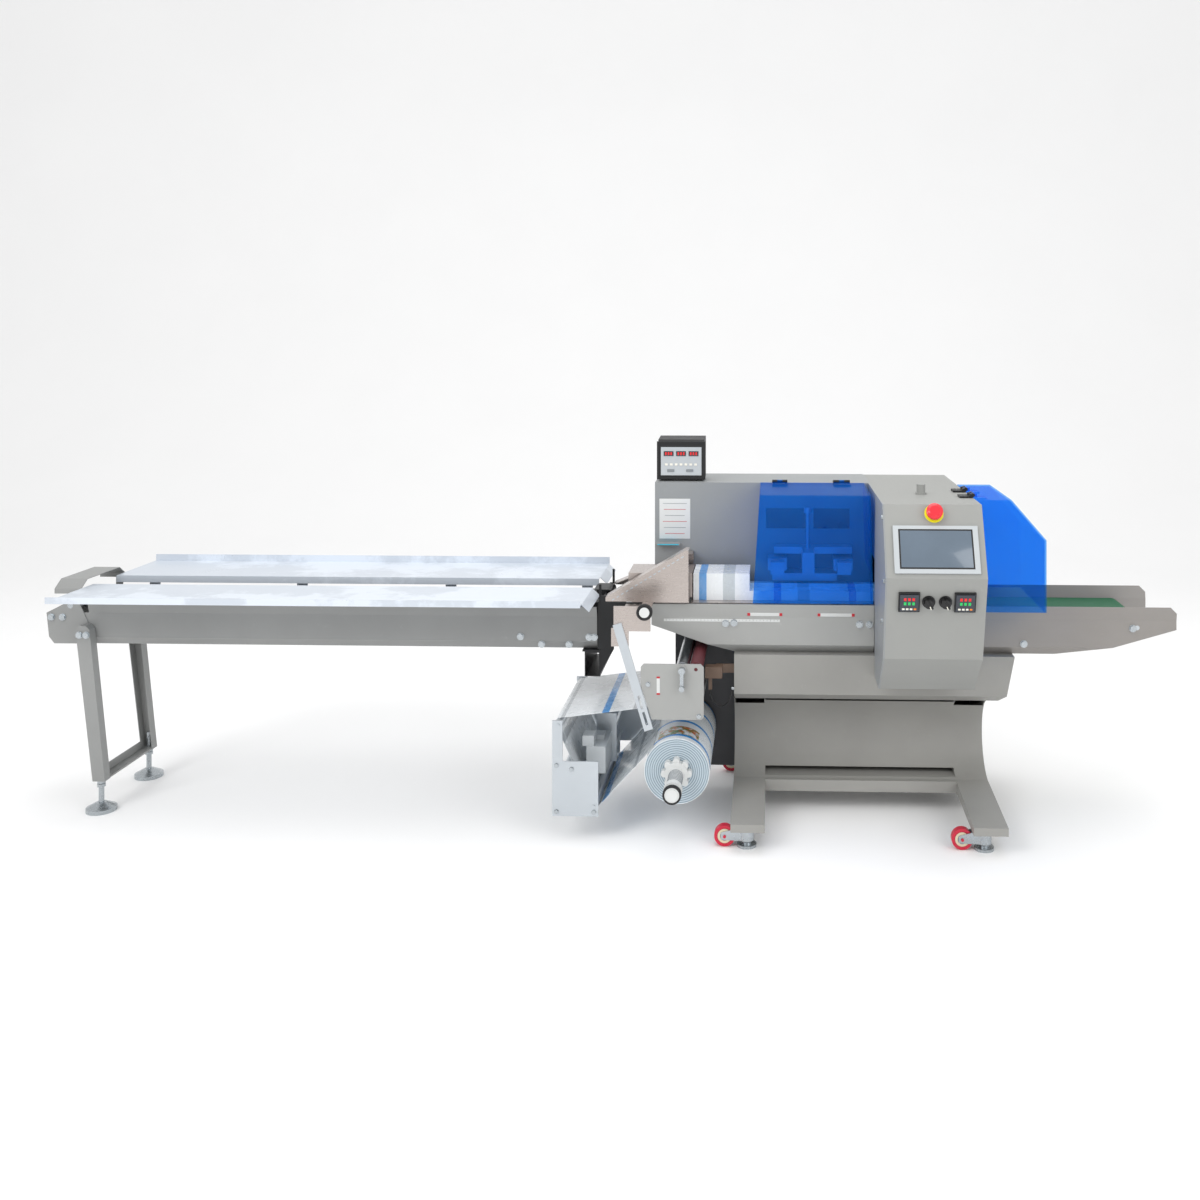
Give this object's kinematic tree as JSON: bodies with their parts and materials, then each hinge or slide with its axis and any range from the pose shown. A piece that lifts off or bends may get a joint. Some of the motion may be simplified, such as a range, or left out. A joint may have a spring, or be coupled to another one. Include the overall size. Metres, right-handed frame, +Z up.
{
  "type": "horizontal flow wrapper",
  "caption": "Horizontal pillow packing machine: chain infeed with side trays, film unwind and former, tinted sealing cover, slanted operator console and belt outfeed on a castered stand.",
  "frame": {"origin": "middle of the machine on the floor, under the centre of its overall box", "axes": "+X along the product path from infeed to outfeed, +Y away from the operator, +Z up"},
  "size_m": [3.932, 0.9366, 1.285],
  "materials": {
    "stand_paint": "fine powder coat",
    "console_paint": "textured powder coat",
    "cabinet_paint": "satin powder coat",
    "rail_paint": "satin powder coat",
    "outfeed_paint": "satin powder coat",
    "infeed_paint": "satin powder coat",
    "stainless": "brushed",
    "dark_steel": "matt",
    "black_steel": "matt black",
    "zinc": "bright zinc",
    "machined_aluminium": "machined",
    "roller_steel": "ground",
    "roller_rubber": "matt",
    "belt_green": "matt",
    "film_print": "glossy film",
    "white_plastic": "moulded",
    "black_plastic": "moulded",
    "bezel_silver": "moulded",
    "stop_red": "moulded",
    "stop_yellow": "moulded",
    "acrylic_blue": "clear tinted",
    "wheel_red": "polyurethane",
    "sensor_body": "moulded",
    "cable_black": "matt"
  },
  "bodies": {
    "machine_frame": {"stand_frame": "stand_paint", "bed_cabinet": "stand_paint", "main_plate": "dark_steel", "infeed_trough": "infeed_paint", "infeed_end_housing": "infeed_paint", "infeed_end_guard": "infeed_paint", "tray_front": "stainless", "tray_rear": "stainless", "infeed_chain": "zinc", "infeed_leg_frame": "infeed_paint", "levelling_feet": "zinc", "coupling_bracket": "black_steel", "bed_rail_front": "rail_paint", "bed_table": "stainless", "outfeed_trough": "outfeed_paint", "outfeed_belt": "belt_green", "rear_cabinet": "cabinet_paint", "coder_display": "black_plastic", "console_side_plate": "cabinet_paint", "hmi_panel": "bezel_silver", "estop_collar": "stop_yellow", "temperature_controllers": "black_plastic", "console_shell": "console_paint", "cover_hinges": "black_steel", "fin_seal_heads": "machined_aluminium", "former": "stainless", "film_side_plate": "rail_paint", "slotted_bar": "machined_aluminium", "unwind_frame": "machined_aluminium", "coder_head": "black_plastic", "film_web": "film_print", "film_tube": "film_print", "film_sensor": "sensor_body", "sensor_cable": "cable_black", "fasteners": "zinc"},
    "front_cover": {"front_cover": "acrylic_blue"},
    "outfeed_cover": {"outfeed_cover": "acrylic_blue"},
    "estop_button": {"estop_button": "stop_red"},
    "selector_knob_left": {"selector_knob_left": "black_plastic"},
    "selector_knob_right": {"selector_knob_right": "black_plastic"},
    "film_reel": {"film_reel": "film_print", "reel_shaft": "white_plastic"},
    "unwind_roller_top": {"unwind_roller_top": "machined_aluminium"},
    "unwind_roller_low": {"unwind_roller_low": "machined_aluminium"},
    "nip_roller_steel": {"nip_roller_steel": "roller_steel"},
    "nip_roller_rubber": {"nip_roller_rubber": "roller_rubber"},
    "former_handwheel": {"former_handwheel": "black_plastic"},
    "pinch_lever": {"pinch_lever": "zinc"},
    "end_jaw_lower": {"end_jaw_lower": "roller_steel"},
    "end_jaw_upper": {"end_jaw_upper": "roller_steel"},
    "chain_tail_shaft": {"chain_tail_shaft": "zinc"},
    "belt_end_roller": {"belt_end_roller": "machined_aluminium"},
    "caster_fork_front_left": {"caster_fork_front_left": "black_steel"},
    "caster_wheel_front_left": {"caster_wheel_front_left": "wheel_red"},
    "caster_fork_front_right": {"caster_fork_front_right": "black_steel"},
    "caster_wheel_front_right": {"caster_wheel_front_right": "wheel_red"},
    "caster_fork_rear_left": {"caster_fork_rear_left": "black_steel"},
    "caster_wheel_rear_left": {"caster_wheel_rear_left": "wheel_red"},
    "caster_fork_rear_right": {"caster_fork_rear_right": "black_steel"},
    "caster_wheel_rear_right": {"caster_wheel_rear_right": "wheel_red"}
  },
  "joints": [
    {"name": "front_cover_hinge", "type": "hinge", "parent": "machine_frame", "child": "front_cover", "pos_m": [0.734, 0.17933, 1.134], "axis": [-1, 0, 0], "range_deg": [0, 80]},
    {"name": "outfeed_cover_hinge", "type": "hinge", "parent": "machine_frame", "child": "outfeed_cover", "pos_m": [1.255, -0.10366, 1.139], "axis": [0, -1, 0], "range_deg": [0, 85]},
    {"name": "estop_press", "type": "slide", "parent": "machine_frame", "child": "estop_button", "axis": [0, 0.8885, -0.4589], "range_m": [0, 0.005], "stiffness_N_per_m": 400, "springref_m": -0.002},
    {"name": "selector_turn_left", "type": "hinge", "parent": "machine_frame", "child": "selector_knob_left", "pos_m": [1.077, -0.44161, 0.841], "axis": [0, -0.9497, -0.3131], "range_deg": [-45, 45]},
    {"name": "selector_turn_right", "type": "hinge", "parent": "machine_frame", "child": "selector_knob_right", "pos_m": [1.129, -0.44161, 0.841], "axis": [0, -0.9497, -0.3131], "range_deg": [-45, 45]},
    {"name": "reel_spin", "type": "hinge", "parent": "machine_frame", "child": "film_reel", "pos_m": [0.278, 0.00333, 0.228], "axis": [0, 1, 0], "continuous": true},
    {"name": "unwind_top_spin", "type": "hinge", "parent": "machine_frame", "child": "unwind_roller_top", "pos_m": [-0.111, 0.00333, 0.383], "axis": [0, 1, 0], "continuous": true},
    {"name": "unwind_low_spin", "type": "hinge", "parent": "machine_frame", "child": "unwind_roller_low", "pos_m": [0.006, 0.00333, 0.118], "axis": [0, 1, 0], "continuous": true},
    {"name": "nip_steel_spin", "type": "hinge", "parent": "machine_frame", "child": "nip_roller_steel", "pos_m": [0.2957, 0.00333, 0.566], "axis": [0, 1, 0], "continuous": true},
    {"name": "nip_rubber_spin", "type": "hinge", "parent": "machine_frame", "child": "nip_roller_rubber", "pos_m": [0.3413, 0.00333, 0.566], "axis": [0, 1, 0], "continuous": true},
    {"name": "former_wheel_turn", "type": "hinge", "parent": "machine_frame", "child": "former_handwheel", "pos_m": [0.173, -0.24266, 0.757], "axis": [0, 1, 0], "continuous": true},
    {"name": "pinch_lever_swing", "type": "hinge", "parent": "machine_frame", "child": "pinch_lever", "pos_m": [0.2957, -0.24266, 0.566], "axis": [0, 1, 0], "range_deg": [0, 75]},
    {"name": "end_jaw_lower_spin", "type": "hinge", "parent": "machine_frame", "child": "end_jaw_lower", "pos_m": [1.102, 0.10333, 0.668], "axis": [0, 1, 0], "continuous": true},
    {"name": "end_jaw_upper_spin", "type": "hinge", "parent": "machine_frame", "child": "end_jaw_upper", "pos_m": [1.102, 0.10333, 0.818], "axis": [0, 1, 0], "continuous": true},
    {"name": "chain_tail_spin", "type": "hinge", "parent": "machine_frame", "child": "chain_tail_shaft", "pos_m": [-1.881, 0.10333, 0.712], "axis": [0, 1, 0], "continuous": true},
    {"name": "belt_end_spin", "type": "hinge", "parent": "machine_frame", "child": "belt_end_roller", "pos_m": [1.834, 0.10333, 0.67], "axis": [0, 1, 0], "continuous": true},
    {"name": "caster_swivel_front_left", "type": "hinge", "parent": "machine_frame", "child": "caster_fork_front_left", "pos_m": [0.509, -0.26666, 0.04], "axis": [0, 0, 1], "continuous": true},
    {"name": "caster_roll_front_left", "type": "hinge", "parent": "caster_fork_front_left", "child": "caster_wheel_front_left", "pos_m": [0.437, -0.26666, 0.035], "axis": [0, 1, 0], "continuous": true},
    {"name": "caster_swivel_front_right", "type": "hinge", "parent": "machine_frame", "child": "caster_fork_front_right", "pos_m": [1.279, -0.26666, 0.04], "axis": [0, 0, 1], "continuous": true},
    {"name": "caster_roll_front_right", "type": "hinge", "parent": "caster_fork_front_right", "child": "caster_wheel_front_right", "pos_m": [1.207, -0.26666, 0.035], "axis": [0, 1, 0], "continuous": true},
    {"name": "caster_swivel_rear_left", "type": "hinge", "parent": "machine_frame", "child": "caster_fork_rear_left", "pos_m": [0.509, 0.40333, 0.04], "axis": [0, 0, 1], "continuous": true},
    {"name": "caster_roll_rear_left", "type": "hinge", "parent": "caster_fork_rear_left", "child": "caster_wheel_rear_left", "pos_m": [0.437, 0.40333, 0.035], "axis": [0, 1, 0], "continuous": true},
    {"name": "caster_swivel_rear_right", "type": "hinge", "parent": "machine_frame", "child": "caster_fork_rear_right", "pos_m": [1.279, 0.40333, 0.04], "axis": [0, 0, 1], "continuous": true},
    {"name": "caster_roll_rear_right", "type": "hinge", "parent": "caster_fork_rear_right", "child": "caster_wheel_rear_right", "pos_m": [1.207, 0.40333, 0.035], "axis": [0, 1, 0], "continuous": true}
  ],
  "couplings": [
    {"joint": "unwind_top_spin", "follows": "reel_spin", "ratio": -7.7143},
    {"joint": "unwind_low_spin", "follows": "reel_spin", "ratio": -7.7143},
    {"joint": "nip_steel_spin", "follows": "reel_spin", "ratio": 4.9091},
    {"joint": "nip_rubber_spin", "follows": "reel_spin", "ratio": -4.9091},
    {"joint": "end_jaw_upper_spin", "follows": "end_jaw_lower_spin", "ratio": -1}
  ]
}
